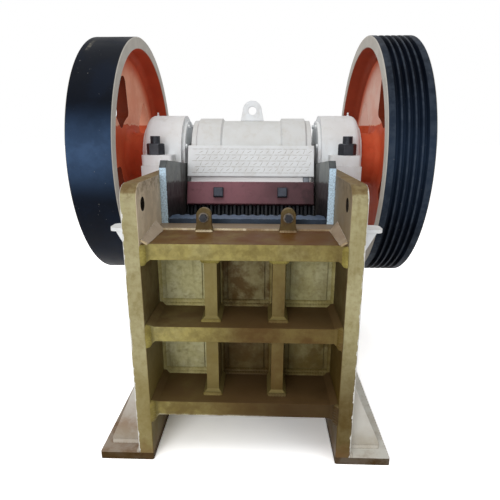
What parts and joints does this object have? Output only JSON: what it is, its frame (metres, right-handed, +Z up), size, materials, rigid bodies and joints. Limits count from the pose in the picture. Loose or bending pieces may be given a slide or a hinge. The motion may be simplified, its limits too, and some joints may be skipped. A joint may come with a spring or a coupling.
{
  "type": "jaw crusher",
  "caption": "Single-toggle jaw crusher: welded ribbed frame, corrugated fixed and swinging jaws, eccentric shaft in heavy bearing housings, plain flywheel and grooved belt wheel.",
  "frame": {"origin": "middle of the anchor bolt pattern on the floor", "axes": "+X to the grooved belt wheel's side, +Y from the feed side to the rear, +Z up"},
  "size_m": [1.284, 1.34, 1.355],
  "materials": {
    "frame_paint": "worn khaki paint",
    "white_paint": "worn white primer",
    "wheel_paint": "black paint over red oxide",
    "wheel_oxide": "orange red oxide primer",
    "oxide_paint": "maroon oxide primer",
    "jaw_steel": "cast manganese steel",
    "cheek_steel": "ground edges, dark faces",
    "fastener_steel": "blued steel",
    "shaft_steel": "turned steel"
  },
  "bodies": {
    "frame": {"left_side_plate": "frame_paint", "right_side_plate": "frame_paint", "left_foot": "frame_paint", "right_foot": "frame_paint", "foot_gussets": "white_paint", "side_brackets": "white_paint", "front_wall": "frame_paint", "front_bottom_rib": "frame_paint", "front_middle_rib": "frame_paint", "front_top_rib": "frame_paint", "front_uprights": "frame_paint", "feed_corners": "frame_paint", "fixed_jaw_plate": "jaw_steel", "front_lugs": "frame_paint", "front_lug_bolts": "fastener_steel", "left_cheek_plate": "cheek_steel", "right_cheek_plate": "cheek_steel", "left_bearing_pedestal": "white_paint", "right_bearing_pedestal": "white_paint", "left_bearing_housing": "white_paint", "right_bearing_housing": "white_paint", "bearing_studs": "fastener_steel", "bearing_nuts": "fastener_steel", "bearing_covers": "white_paint", "rear_wall": "frame_paint", "rear_wall_ribs": "frame_paint", "toggle_block": "frame_paint", "toggle_plate": "frame_paint", "spring_cup": "frame_paint"},
    "shaft": {"eccentric_shaft": "shaft_steel", "plain_wheel_rim": "wheel_paint", "plain_wheel_web": "wheel_oxide", "grooved_wheel_rim": "wheel_paint", "grooved_wheel_web": "wheel_oxide", "wheel_hubs": "wheel_oxide", "flywheel_keys": "shaft_steel"},
    "pitman": {"pitman": "white_paint", "moving_jaw_plate": "jaw_steel", "jaw_wedge_bar": "oxide_paint", "wedge_bar_bolts": "fastener_steel", "pitman_guard_plate": "white_paint", "lifting_eye": "white_paint", "tension_rod": "shaft_steel", "tension_spring": "fastener_steel", "rod_nuts": "fastener_steel"}
  },
  "joints": [
    {"name": "shaft_spin", "type": "hinge", "parent": "frame", "child": "shaft", "pos_m": [0, 0.25267, 0.869], "axis": [1, 0, 0], "continuous": true},
    {"name": "pitman_orbit", "type": "hinge", "parent": "shaft", "child": "pitman", "pos_m": [0, 0.25267, 0.861], "axis": [1, 0, 0], "continuous": true}
  ],
  "couplings": [
    {"joint": "pitman_orbit", "follows": "shaft_spin", "ratio": -1}
  ]
}
